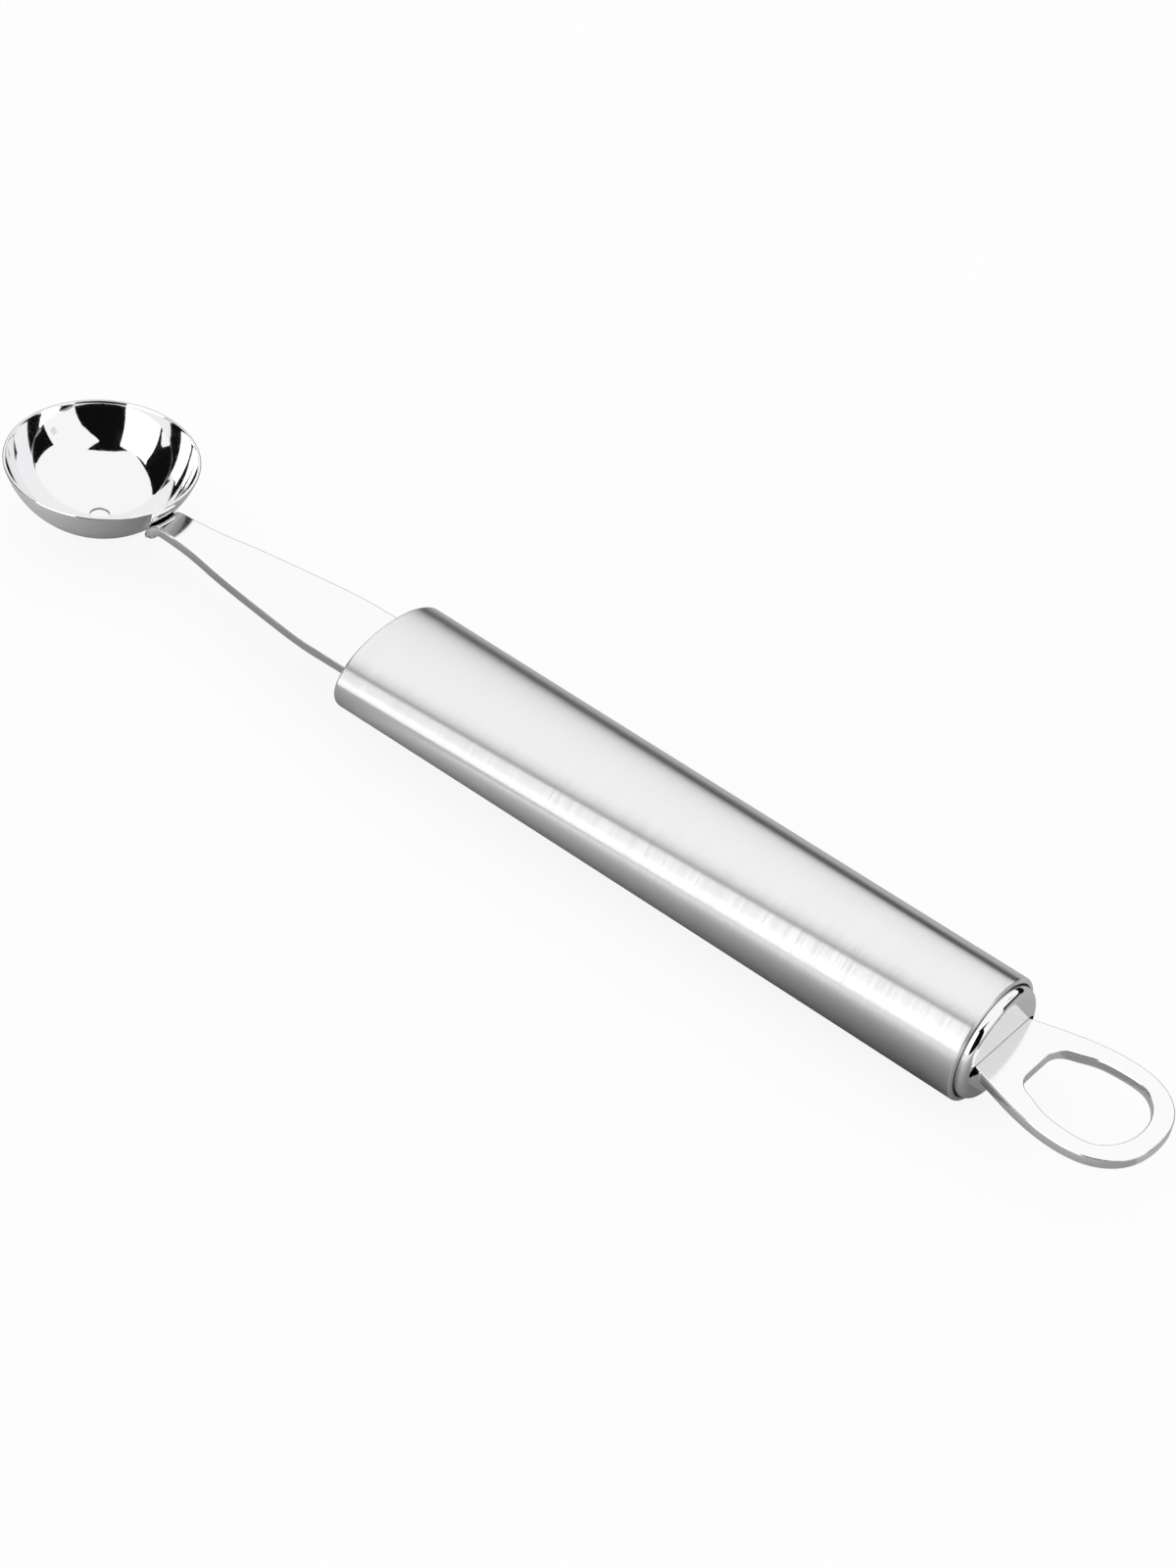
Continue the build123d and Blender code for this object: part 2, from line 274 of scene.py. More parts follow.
def add_node(tree, kind, settings, inputs):
    """Add a node with its settings, and link or set its inputs."""
    node = tree.nodes.new(kind)
    for name, value in settings.items():
        setattr(node, name, value)
    for key, value in inputs.items():
        if isinstance(value, bpy.types.NodeSocket):
            tree.links.new(value, node.inputs[key])
        else:
            node.inputs[key].default_value = value
    return node


def new_material(name):
    """A node material with nothing in it, and its tree."""
    material = bpy.data.materials.new(name)
    material.use_nodes = True
    material.node_tree.nodes.clear()
    return material, material.node_tree


def object_place(tree):
    """The place on the piece, in its own coordinates."""
    return add_node(tree, "ShaderNodeTexCoord", {}, {}).outputs["Object"]


def set_surface(tree, shader):
    """Use a shader's first output as the material's surface."""
    add_node(tree, "ShaderNodeOutputMaterial", {}, {"Surface": shader.outputs[0]})


def between(tree, value, low, high, to_low, to_high):
    """A value's range turned into another range."""
    return add_node(tree, "ShaderNodeMapRange", {}, {
        "Value": value, "From Min": low, "From Max": high,
        "To Min": to_low, "To Max": to_high}).outputs["Result"]


def grained(tree, place, repeats, detail, roughness_range, bump_height):
    """Roughness and normal of a noise, drawn out by its repeats per metre along X, Y and Z."""
    drawn_out = add_node(tree, "ShaderNodeMapping", {}, {"Vector": place, "Scale": repeats})
    grain = add_node(tree, "ShaderNodeTexNoise", {}, {
        "Vector": drawn_out.outputs["Vector"], "Scale": 1.0, "Detail": detail}).outputs["Fac"]
    bump = add_node(tree, "ShaderNodeBump", {}, {
        "Height": grain, "Distance": bump_height, "Strength": 1.0})
    # Nearly all of the noise lies between these two values
    faint, strong = 0.3, 0.7
    return {"Roughness": between(tree, grain, faint, strong, *roughness_range),
            "Normal": bump.outputs["Normal"]}


def steel(name, colour, *grain, tangent=lambda tree, place: {}):
    """A steel with a grain, made the first time that it is asked for."""
    if name in bpy.data.materials:
        return bpy.data.materials[name]
    material, tree = new_material(name)
    place = object_place(tree)
    set_surface(tree, add_node(tree, "ShaderNodeBsdfPrincipled", {}, {
        "Base Color": colour, "Metallic": 1.0,
        **grained(tree, place, *grain), **tangent(tree, place)}))
    return material


def girth_tangent(tree, place):
    """Stretches the gloss along the tube, because the brushing runs round it."""
    parts = add_node(tree, "ShaderNodeSeparateXYZ", {}, {"Vector": place}).outputs
    turned = add_node(tree, "ShaderNodeMath", {"operation": "SUBTRACT"}, {0: AXIS_Z, 1: parts["Z"]})
    girth = add_node(tree, "ShaderNodeCombineXYZ", {}, {"Y": turned.outputs[0], "Z": parts["Y"]})
    return {"Tangent": girth.outputs[0], "Anisotropic": 1.0, "Anisotropic Rotation": 0.25}


def mirror_stainless(finish):
    """Stainless steel buffed to a mirror: sharp reflections with faint wipes, 0.4 mm by 6 mm."""
    return steel("mirror_polished_stainless", finish.mirror_steel,
                 (160, 2500, 160), 2.0, (0.03, 0.07), 0.2e-6)


def polished_stainless(finish):
    """Stainless steel ground and polished: clear reflections with a grain 0.25 mm by 4 mm."""
    return steel("polished_grained_stainless", finish.polished_steel,
                 (250, 4000, 4000), 3.0, (0.08, 0.16), 0.6e-6)


def satin_stainless(finish):
    """Stainless steel brushed round the tube: lines 0.2 mm wide, coarser than the real 0.05 mm."""
    return steel("satin_brushed_stainless", finish.satin_steel,
                 (5000, 60, 60), 3.0, (0.28, 0.36), 0.4e-6, tangent=girth_tangent)


def plain_steel(finish):
    """Steel as turned, dull and grey inside the handle, with the tool bit's rings 0.15 mm apart."""
    return steel("turned_steel", finish.plain_steel, (900, 900, 6500), 2.0, (0.3, 0.45), 4e-6)


def moulded(name, colour, roughness_range, pit_size):
    """A moulded plastic or rubber: dull, with a fine even pitting 5 micrometres deep."""
    material, tree = new_material(name)
    pits = grained(tree, object_place(tree), [1 / pit_size] * 3, 2.0, roughness_range, 5e-6)
    set_surface(tree, add_node(tree, "ShaderNodeBsdfPrincipled", {}, {
        "Base Color": colour, **pits}))
    return material


def put_in_frame(bm, name, material):
    """Make the piece's mesh and object, and set it in the place of its CAD node."""
    mesh = bpy.data.meshes.new(name)
    bm.to_mesh(mesh)
    bm.free()
    mesh.shade_smooth()
    mesh.set_sharp_from_angle(angle=CREASE)
    mesh.materials.append(material)
    piece = bpy.data.objects.new(name, mesh)
    bpy.context.scene.collection.objects.link(piece)
    weighted = piece.modifiers.new("face weighted normals", "WEIGHTED_NORMAL")
    weighted.keep_sharp = True
    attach(piece, "root")
    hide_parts(name.removesuffix("_steel"))
    return piece


def verts_of(items):
    """The vertices among an operator's results."""
    return [item for item in items if isinstance(item, bmesh.types.BMVert)]


def grow(bm, vert, place):
    """Grow an edge from a vertex to a place, and give its new end."""
    end = bmesh.ops.extrude_vert_indiv(bm, verts=[vert])["verts"][0]
    end.co = place
    return end


def swept_arc(bm, vert, centre, angle, steps):
    """Sweep a vertex in the upright plane about a centre; the angle is from X towards Z."""
    swept = bmesh.ops.spin(bm, geom=[vert], cent=centre, axis=(0, -1, 0), angle=angle, steps=steps)
    return verts_of(swept["geom_last"])[0]


def turn_full(bm, centre, axis, steps):
    """Turn the whole profile a full round, close its poles and point its faces outwards."""
    profile = bm.verts[:] + bm.edges[:]
    bmesh.ops.spin(bm, geom=profile, cent=centre, axis=axis, angle=2 * pi, steps=steps,
                   use_merge=True)
    bmesh.ops.remove_doubles(bm, verts=bm.verts, dist=TOUCH)
    bmesh.ops.dissolve_degenerate(bm, edges=bm.edges, dist=TOUCH)
    bmesh.ops.recalc_face_normals(bm, faces=bm.faces)


def edges_where(bm, test):
    """Edges both of whose ends pass a test of their place."""
    return [edge for edge in bm.edges if all(test(vert.co) for vert in edge.verts)]


def span_x(edge):
    """The lower and the higher X of an edge's ends."""
    return sorted(vert.co.x for vert in edge.verts)


def rise(edge):
    """How much higher one end of an edge is than the other."""
    return abs(edge.verts[0].co.z - edge.verts[1].co.z)


def round_edges(bm, edges, width, segments):
    """Bevel edges to a round."""
    bmesh.ops.bevel(bm, geom=edges, offset=width, offset_type="OFFSET", segments=segments,
                    profile=0.5, affect="EDGES", clamp_overlap=True, material=-1)


def cut_away(bm, cutter):
    """Cut one solid out of another and give back what is left."""
    solids = []
    for shape in (bm, cutter):
        mesh = bpy.data.meshes.new("solid")
        shape.to_mesh(mesh)
        shape.free()
        solids.append(bpy.data.objects.new("solid", mesh))
        bpy.context.scene.collection.objects.link(solids[-1])
    cut = solids[0].modifiers.new("cut", "BOOLEAN")
    cut.operation, cut.solver, cut.object = "DIFFERENCE", "EXACT", solids[1]
    left = bmesh.new()
    left.from_object(solids[0], bpy.context.evaluated_depsgraph_get())
    for solid in solids:
        bpy.data.objects.remove(solid)
    return left


def drill(bm, pin_box, radius, plate):
    """Drill an upright hole round a pin, given by its box, through a plate's thickness."""
    low, high = pin_box
    rod = bmesh.new()
    bmesh.ops.create_cone(rod, cap_ends=True, segments=64, radius1=radius, radius2=radius,
                          depth=2 * plate,
                          matrix=Matrix.Translation(((low.x + high.x) / 2, 0, AXIS_Z)))
    return cut_away(bm, rod)


def across_axis(x, half_width, half_height):
    """Takes the unit circle to an oval across the handle's axis."""
    return Matrix(((0, 0, 1, x), (half_width, 0, 0, 0), (0, half_height, 0, AXIS_Z), (0, 0, 0, 1)))


def slot_bar(start, end, length, height):
    """A bar with round ends along the handle's axis, for the slot of the cap."""
    bm = bmesh.new()
    sides = 64
    ends = bmesh.ops.create_circle(bm, cap_ends=True, segments=sides, radius=height / 2,
                                   matrix=Matrix.Rotation(pi / sides, 4, "Z"))["verts"]
    for vert in ends:
        vert.co.x += copysign((length - height) / 2, vert.co.x)
    grown = bmesh.ops.extrude_face_region(bm, geom=bm.faces[:])["geom"]
    bmesh.ops.translate(bm, vec=(0, 0, end - start), verts=verts_of(grown))
    bmesh.ops.transform(bm, matrix=across_axis(start, 1.0, 1.0), verts=bm.verts)
    bmesh.ops.recalc_face_normals(bm, faces=bm.faces)
    return bm


def sphere_of(scoop):
    """Radius and centre of the sphere that the scoop is a cap of."""
    radius = (scoop.rim_radius ** 2 + scoop.depth ** 2) / (2 * scoop.depth)
    return radius, Vector((SCOOP_X, 0, RIM_Z + radius - scoop.depth))


class MELON_OT_scoop(Operator):
    """Press the scoop: a cap of a sphere with a ground rim and a drain hole"""

    bl_idname = "melon.scoop"
    bl_label = "Scoop"

    def execute(self, context):
        scoop = context.scene.melon_baller.scoop
        radius, centre = sphere_of(scoop)
        inner = radius - scoop.wall
        drop = radius - scoop.depth
        arc_steps, turn_steps = 48, 224

        def drain_and_rim(sphere):
            return -acos(scoop.drain_radius / sphere), -asin(drop / sphere)

        def on_sphere(sphere, angle):
            return centre + sphere * Vector((cos(angle), 0, sin(angle)))

        outer_start, outer_end = drain_and_rim(radius)
        inner_start, inner_end = drain_and_rim(inner)
        bm = bmesh.new()
        first = bm.verts.new(on_sphere(radius, outer_start))
        rim = swept_arc(bm, first, centre, outer_end - outer_start, arc_steps)
        rim = grow(bm, rim, on_sphere(inner, inner_end))
        last = swept_arc(bm, rim, centre, inner_start - inner_end, arc_steps)
        bm.edges.new((last, first))
        turn_full(bm, centre, (0, 0, 1), turn_steps)

        # A round's offset is its radius only on a right angle, and the rim's outer edge is sharper
        outer_offset = scoop.rim_round / tan(acos(drop / radius) / 2)
        rim_z = centre.z - drop
        # Radius, height, offset and segments of each round
        rings = (
            (scoop.rim_radius, rim_z, outer_offset, 5),
            (sqrt(inner ** 2 - drop ** 2), rim_z, scoop.rim_inner_round, 3),
            (scoop.drain_radius, centre.z + radius * sin(outer_start), scoop.drain_round, 3),
            (scoop.drain_radius, centre.z + inner * sin(inner_start), scoop.drain_round, 3),
        )
        for ring, height, offset, segments in rings:
            edges = edges_where(bm, lambda place: abs(place.z - height) < NEAR
                                and abs((place - centre).to_2d().length - ring) < NEAR)
            round_edges(bm, edges, offset, segments)
        finish = context.scene.melon_baller.finish
        put_in_frame(bm, "scoop_bowl_steel", mirror_stainless(finish))
        return {"FINISHED"}


def clamped_curve(points, start_tangent, end_tangent, steps):
    """Points along a smooth curve through a few points with given directions at its ends."""
    knots = np.array([point[:2] for point in points])
    spans = np.linalg.norm(np.diff(knots, axis=0), axis=1)
    count = len(knots)
    matrix = np.eye(count)
    right = np.zeros((count, 2))
    right[0] = np.array(start_tangent.normalized()[:2])
    right[-1] = np.array(end_tangent.normalized()[:2])
    for i in range(1, count - 1):
        before, after = spans[i - 1], spans[i]
        matrix[i, i - 1:i + 2] = (1 / before, 2 / before + 2 / after, 1 / after)
        right[i] = 3 * ((knots[i] - knots[i - 1]) / before ** 2
                        + (knots[i + 1] - knots[i]) / after ** 2)
    slopes = np.linalg.solve(matrix, right)
    places = np.concatenate([[0.0], np.cumsum(spans)])
    curve = []
    for place in np.linspace(0, places[-1], steps + 1):
        i = min(np.searchsorted(places, place, side="right") - 1, count - 2)
        span, t = spans[i], (place - places[i]) / spans[i]
        here = ((1 + 2 * t) * (1 - t) ** 2 * knots[i] + t * (1 - t) ** 2 * span * slopes[i]
                + t * t * (3 - 2 * t) * knots[i + 1] + t * t * (t - 1) * span * slopes[i + 1])
        curve.append(Vector((here[0], here[1], 0)))
    return curve


def narrowing_curve():
    """How the blade narrows: share of the narrowing over the share of the way to its neck."""
    shares = ((0.18, 0.0), (0.36, 0.13), (0.55, 0.38), (0.73, 0.66), (1.0, 1.0))
    leaving, arriving = Vector((1, 0)), Vector((1, 0.35))
    return clamped_curve([Vector(share) for share in shares], leaving, arriving, steps=60)


def height_at(curve, x):
    """The height of a curve at a place along it, and of its nearer end beyond it."""
    for before, after in zip(curve, curve[1:]):
        if x <= after.x + TOUCH:
            part = max((x - before.x) / (after.x - before.x), 0.0)
            return before.y + part * (after.y - before.y)
    return curve[-1].y


class ShankLine:
    """Where the shank's upper side runs: along the blade, round the bend and down the scoop."""

    def __init__(self, shank, scoop, root):
        self.shank = shank
        self.radius, scoop_centre = sphere_of(scoop)
        # The sheet is made with a level blade whose root is at the origin, and then hung from root
        self.hang = Matrix.Translation(root) @ Matrix.Rotation(-shank.droop, 4, "Y")
        self.centre = self.hang.inverted() @ scoop_centre
        self.half_neck = shank.neck_width / 2
        self.bend_z = -shank.bend_radius
        reach, fall = self.radius + shank.bend_radius, self.centre.z - self.bend_z
        self.bend_x = self.centre.x + sqrt(reach ** 2 - fall ** 2)
        self.dip = asin(fall / reach)
        self.narrowing = narrowing_curve()

    def on_blade(self, share):
        """Distance from the scoop's centre, height, half width and roundness on the blade."""
        half_root = self.shank.root_width / 2
        narrower = (half_root - self.half_neck) * height_at(self.narrowing, share)
        return share * self.bend_x - self.centre.x, 0.0, half_root - narrower, share

    def on_bend(self, share):
        """The same on the bend."""
        turn = share * (pi / 2 - self.dip)
        out = self.bend_x - self.shank.bend_radius * sin(turn) - self.centre.x
        return out, self.bend_z + self.shank.bend_radius * cos(turn), self.half_neck, 1.0

    def on_tongue(self, share):
        """The same on the tongue, with its corners."""
        left = 1 - share
        # The rows crowd towards the tip, where the corners are
        left = left ** 2 if left < 0.5 else left - 0.5 * (1 - left)
        angle = self.shank.tongue_dip - left * (self.shank.tongue_dip - self.dip)
        to_tip = left * self.radius * (self.shank.tongue_dip - self.dip)
        corner = self.shank.tongue_corner
        inwards = corner - sqrt(max(corner ** 2 - max(corner - to_tip, 0.0) ** 2, 0.0))
        return (self.radius * cos(angle), self.centre.z - self.radius * sin(angle),
                self.half_neck - inwards, 1.0)

    def wear_tongue(self, bm):
        """Wear the tongue round towards its edge, and give the vertices of its end."""
        shank, corner = self.shank, self.shank.tongue_corner
        middle = self.radius + shank.thickness / 2
        tongue_end = set()
        for vert in bm.verts:
            if vert.co.x >= self.bend_x:
                continue
            offset = vert.co - self.centre
            across = abs(vert.co.y) - self.half_neck
            to_tip = self.radius * (shank.tongue_dip - atan2(-offset.z, offset.to_2d().length))
            if to_tip < corner + shank.tip_round:
                tongue_end.add(vert)
            to_edge = to_tip - corner - across
            if to_tip < corner:
                to_edge = corner - sqrt(max(across + corner, 0.0) ** 2 + (corner - to_tip) ** 2)
            if to_edge < shank.tip_round:
                left = min(1 - to_edge / shank.tip_round, 1.0)
                thinned = middle + (offset.length - middle) * sqrt(1 - shank.tip_wear * left ** 2)
                vert.co = self.centre + offset * (thinned / offset.length)
        return tongue_end


class MELON_OT_shank(Operator):
    """Stamp the shank: a sheet blade, a bend with its tongue under the scoop, and the tang"""

    bl_idname = "melon.shank"
    bl_label = "Shank"

    def execute(self, context):
        settings = context.scene.melon_baller
        shank = settings.shank
        root = Vector((MOUTH_X + settings.handle.mouth_round, 0, AXIS_Z + shank.thickness / 2))
        line = ShankLine(shank, settings.scoop, root)
        blade_rows, bend_rows, tongue_rows, columns = 96, 16, 40, 20
        rows = blade_rows + bend_rows + tongue_rows
        bm = bmesh.new()
        bmesh.ops.create_grid(bm, x_segments=rows, y_segments=columns, size=0.5)
        for vert in bm.verts:
            row = round((vert.co.x + 0.5) * rows)
            if row <= blade_rows:
                station = line.on_blade(row / blade_rows)
            elif row <= blade_rows + bend_rows:
                station = line.on_bend((row - blade_rows) / bend_rows)
            else:
                station = line.on_tongue((row - blade_rows - bend_rows) / tongue_rows)
            out, height, half_width, roundness = station
            y = 2 * vert.co.y * half_width
            # The rows bow towards the scoop until they follow its round
            bow = roundness * (sqrt(out ** 2 - y ** 2) - out)
            vert.co = (line.centre.x + out + bow, y, height)
        bmesh.ops.remove_doubles(bm, verts=bm.verts, dist=TOUCH)

        root_edges = edges_where(bm, lambda place: abs(place.x) < TOUCH
                                 and 2 * abs(place.y) < shank.tang_width)
        tang = bmesh.ops.extrude_edge_only(bm, edges=root_edges)["geom"]
        level = Matrix.Rotation(shank.droop, 3, "Y") @ Vector((shank.tang_length, 0, 0))
        bmesh.ops.translate(bm, vec=level, verts=verts_of(tang))
        bmesh.ops.recalc_face_normals(bm, faces=bm.faces)
        if sum(face.normal.z * face.calc_area() for face in bm.faces) < 0:
            bmesh.ops.reverse_faces(bm, faces=bm.faces)
        bmesh.ops.solidify(bm, geom=bm.faces[:], thickness=shank.thickness)
        tongue_end = line.wear_tongue(bm)
        bmesh.ops.recalc_face_normals(bm, faces=bm.faces)

        # The long edges and the shoulders are worn, but not the tongue's end or the root's corners
        worn = [edge for edge in bm.edges
                if edge.calc_face_angle(0.0) > WORN_ANGLE
                and not tongue_end.intersection(edge.verts) and span_x(edge)[0] < -TOUCH
                and (span_x(edge)[1] <= -TOUCH or rise(edge) <= shank.thickness / 2)]
        round_edges(bm, worn, shank.edge_round, segments=3)
        bmesh.ops.transform(bm, matrix=line.hang, verts=bm.verts)
        bm = drill(bm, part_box("shank_pin"), shank.pin_hole, shank.thickness)
        put_in_frame(bm, "shank_steel", polished_stainless(settings.finish))
        return {"FINISHED"}


class MELON_OT_handle(Operator):
    """Draw the handle's tube: oval at its mouth and round at its rear, with rounded lips"""

    bl_idname = "melon.handle"
    bl_label = "Handle tube"

    def execute(self, context):
        handle = context.scene.melon_baller.handle
        sides, spans, lip_segments = 256, 24, 6

        def station(share, inset):
            half_width = handle.mouth_half_width * (1 - share) + handle.rear_radius * share
            half_height = handle.mouth_half_height * (1 - share) + handle.rear_radius * share
            x = MOUTH_X + share * (REAR_X - MOUTH_X)
            return across_axis(x, half_width - inset, half_height - inset)

        stations = [station(i / spans, 0) for i in range(spans + 1)]
        stations += [station(1, handle.wall), station(0, handle.wall)]
        bm = bmesh.new()
        bmesh.ops.create_circle(bm, segments=sides, radius=1.0)
        bmesh.ops.transform(bm, matrix=stations[0], verts=bm.verts)
        first = ring = bm.edges[:]
        for before, after in zip(stations, stations[1:]):
            grown = bmesh.ops.extrude_edge_only(bm, edges=ring)["geom"]
            verts = verts_of(grown)
            corners = set(verts)
            ring = [item for item in grown if isinstance(item, bmesh.types.BMEdge)
                    and set(item.verts) <= corners]
            bmesh.ops.transform(bm, matrix=after @ before.inverted(), verts=verts)
        bmesh.ops.bridge_loops(bm, edges=first + ring)
        bmesh.ops.recalc_face_normals(bm, faces=bm.faces)
        for x, share, width in ((MOUTH_X, 0, handle.mouth_round), (REAR_X, 1, handle.rear_round)):
            # Takes the lip's outer oval back to the unit circle
            unit = station(share, 0).inverted()
            lip = edges_where(bm, lambda place: abs(place.x - x) < TOUCH
                              and abs((unit @ place).to_2d().length - 1) < 0.001)
            round_edges(bm, lip, width, lip_segments)
        finish = context.scene.melon_baller.finish
        put_in_frame(bm, "handle_tube_steel", satin_stainless(finish))
        return {"FINISHED"}


class MELON_OT_end_cap(Operator):
    """Turn the end cap: polished head, seal groove and spigot, with a slot for the loop"""

    bl_idname = "melon.end_cap"
    bl_label = "End cap"

    def execute(self, context):
        cap, handle = context.scene.melon_baller.cap, context.scene.melon_baller.handle
        seal_low, seal_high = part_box("cap_seal")
        spigot = handle.rear_radius - handle.wall - cap.gap
        web_x = CAP_FACE_X - cap.web
        turn_steps, shoulder_segments = 192, 12
        outline = (
            (CAP_FACE_X, cap.radius), (seal_high.x, cap.radius), (seal_high.x, cap.neck_radius),
            (seal_low.x, cap.neck_radius), (seal_low.x, spigot), (cap_low.x, spigot),
            (cap_low.x, cap.bore_radius), (web_x, cap.bore_radius), (web_x, 0.0),
        )
        bm = bmesh.new()
        last = bm.verts.new((CAP_FACE_X, 0, AXIS_Z))
        for x, out in outline:
            last = grow(bm, last, (x, 0, AXIS_Z + out))
        turn_full(bm, (0, 0, AXIS_Z), (1, 0, 0), turn_steps)

        def from_axis(place):
            return sqrt(place.y ** 2 + (place.z - AXIS_Z) ** 2)

        # The spigot's outside follows the tube's bore, which runs from round to oval
        for vert in bm.verts:
            if from_axis(vert.co) > cap.radius + TOUCH:
                share = (REAR_X - vert.co.x) / (REAR_X - MOUTH_X)
                wider = share * (handle.mouth_half_width - handle.rear_radius)
                lower = share * (handle.mouth_half_height - handle.rear_radius)
                vert.co.y *= 1 + wider / spigot
                vert.co.z += (vert.co.z - AXIS_Z) * lower / spigot
        face_edge = edges_where(bm, lambda place: abs(from_axis(place) - cap.radius) < NEAR
                                and abs(place.x - CAP_FACE_X) < NEAR)
        round_edges(bm, face_edge, cap.shoulder, shoulder_segments)
        slot = slot_bar(web_x - cap.web, CAP_FACE_X + cap.web, cap.slot_length, cap.slot_height)
        bm = cut_away(bm, slot)
        finish = context.scene.melon_baller.finish
        put_in_frame(bm, "end_cap_steel", mirror_stainless(finish))
        return {"FINISHED"}


def egg_half(start, length, root_half_width, half_width, flare, shares, corner):
    """One side of an egg-shaped outline, from the middle of its straight root to its tip."""
    # Both outlines have the same number of steps, so that they can be bridged edge by edge
    steps = 144
    points = [Vector((start + length * along, half_width * out)) for along, out in shares]
    tip = Vector((start + length, 0))
    leaving = Vector((cos(flare), sin(flare)))
    root = Vector((start, root_half_width))
    # The corner's round touches the root line and the outline this far from the corner
    touch = corner * tan((pi / 2 - flare) / 2)
    root_steps = steps // 8
    corner_steps = root_steps if corner else 0
    straight = root_half_width - touch
    half = [Vector((start, straight * i / root_steps, 0)) for i in range(root_steps + 1)]
    for i in range(1, corner_steps + 1):
        turn = (pi / 2 - flare) * i / corner_steps
        half.append(Vector((start + corner * (1 - cos(turn)), straight + corner * sin(turn), 0)))
    curve = clamped_curve([root + touch * leaving, *points, tip], leaving, Vector((0, -1)),
                          steps - root_steps - corner_steps)
    return half + curve[1:]


def outline_ring(bm, half):
    """A closed ring of edges along a half outline and its mirror image."""
    places = half + [Vector((place.x, -place.y, 0)) for place in half[-2:0:-1]]
    ring = bmesh.ops.create_circle(bm, segments=len(places), radius=1.0)["verts"]
    ring.sort(key=lambda vert: atan2(vert.co.y, vert.co.x))
    for vert, place in zip(ring, places):
        vert.co = place
    corners = set(ring)
    return [edge for edge in bm.edges if set(edge.verts) <= corners]


class MELON_OT_loop(Operator):
    """Stamp the hanging loop: an egg-shaped plate with a D-shaped hole, and its tang"""

    bl_idname = "melon.loop"
    bl_label = "Hanging loop"

    def execute(self, context):
        loop = context.scene.melon_baller.loop
        length = loop_high.x - CAP_FACE_X
        # Shares of the length and of the half width that the outlines run through
        edge_shares = ((0.285, 0.884), (0.58, 1.0), (0.82, 0.872), (0.95, 0.555))
        hole_shares = ((0.14, 0.755), (0.32, 0.93), (0.55, 1.0), (0.78, 0.938), (0.93, 0.61))
        bm = bmesh.new()
        outer = outline_ring(bm, egg_half(
            0, length, loop.root_half_width, loop.half_width, loop.flare, edge_shares, 0.0))
        hole = outline_ring(bm, egg_half(
            loop.hole_start, length - loop.rim - loop.hole_start, loop.hole_half_width,
            loop.half_width - loop.rim, loop.hole_flare, hole_shares, loop.hole_corner))
        bmesh.ops.bridge_loops(bm, edges=outer + hole)
        bmesh.ops.recalc_face_normals(bm, faces=bm.faces)
        lower = bmesh.ops.extrude_face_region(bm, geom=bm.faces[:])["geom"]
        bmesh.ops.translate(bm, vec=(0, 0, -loop.thickness), verts=verts_of(lower))
        bmesh.ops.recalc_face_normals(bm, faces=bm.faces)
        bmesh.ops.translate(bm, vec=(CAP_FACE_X, 0, AXIS_Z + loop.thickness / 2), verts=bm.verts)
        worn = [edge for edge in bm.edges
                if edge.calc_face_angle(0.0) > WORN_ANGLE and rise(edge) < TOUCH
                and span_x(edge)[0] > CAP_FACE_X - TOUCH and span_x(edge)[1] > CAP_FACE_X + TOUCH]
        round_edges(bm, worn, loop.edge_round, segments=4)

        root = [face for face in bm.faces
                if all(abs(vert.co.x - CAP_FACE_X) < TOUCH for vert in face.verts)]
        bmesh.ops.inset_region(bm, faces=root, thickness=loop.tang_step, use_even_offset=True)
        tang = bmesh.ops.extrude_face_region(bm, geom=root)["geom"]
        bmesh.ops.translate(bm, vec=(-loop.tang_length, 0, 0), verts=verts_of(tang))
        bmesh.ops.delete(bm, geom=[face for face in root if face.is_valid], context="FACES")
        bmesh.ops.recalc_face_normals(bm, faces=bm.faces)
        bm = drill(bm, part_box("loop_pin"), loop.pin_hole, loop.thickness)
        finish = context.scene.melon_baller.finish
        put_in_frame(bm, "hanging_loop_steel", polished_stainless(finish))
        return {"FINISHED"}


class MELON_OT_inner_pieces(Operator):
    """Finish the plug, the pins, the plastic socket and the rubber seal"""

    bl_idname = "melon.inner_pieces"
    bl_label = "Plug, pins, socket and seal"

    def execute(self, context):
        finish = context.scene.melon_baller.finish
        turned = plain_steel(finish)
        plastic = moulded("moulded_polypropylene", finish.socket_plastic, (0.45, 0.6), 0.5 * MM)
        rubber = moulded("moulded_rubber", finish.seal_rubber, (0.6, 0.8), 0.3 * MM)
        materials = {"front_plug": turned, "shank_pin": turned, "loop_pin": turned,
                     "tang_socket": plastic, "cap_seal": rubber}
        for node, material in materials.items():
            mesh = frame["nodes"][node].data
            if not mesh.materials:
                mesh.materials.append(material)
            for i in range(len(mesh.materials)):
                mesh.materials[i] = material
        return {"FINISHED"}


def sky_place(azimuth, elevation, distance):
    """A place so far from the tool's middle, its azimuth from +X towards +Y and both in degrees."""
    a, e = radians(azimuth), radians(elevation)
    offset = Vector((cos(a) * cos(e), sin(a) * cos(e), sin(e))) * distance
    return offset + Vector((0, 0, AXIS_Z))


def set_on_stage(name, bm, material):
    """Make an object of the studio, which is no part of the tool."""
    mesh = bpy.data.meshes.new(name)
    bm.to_mesh(mesh)
    bm.free()
    mesh.materials.append(material)
    item = bpy.data.objects.new(name, mesh)
    bpy.context.scene.collection.objects.link(item)
    return item


def hide_from_view(card):
    """Leave a card to the steel's reflections alone."""
    card.visible_camera = False
    card.visible_diffuse = False
    card.visible_shadow = False


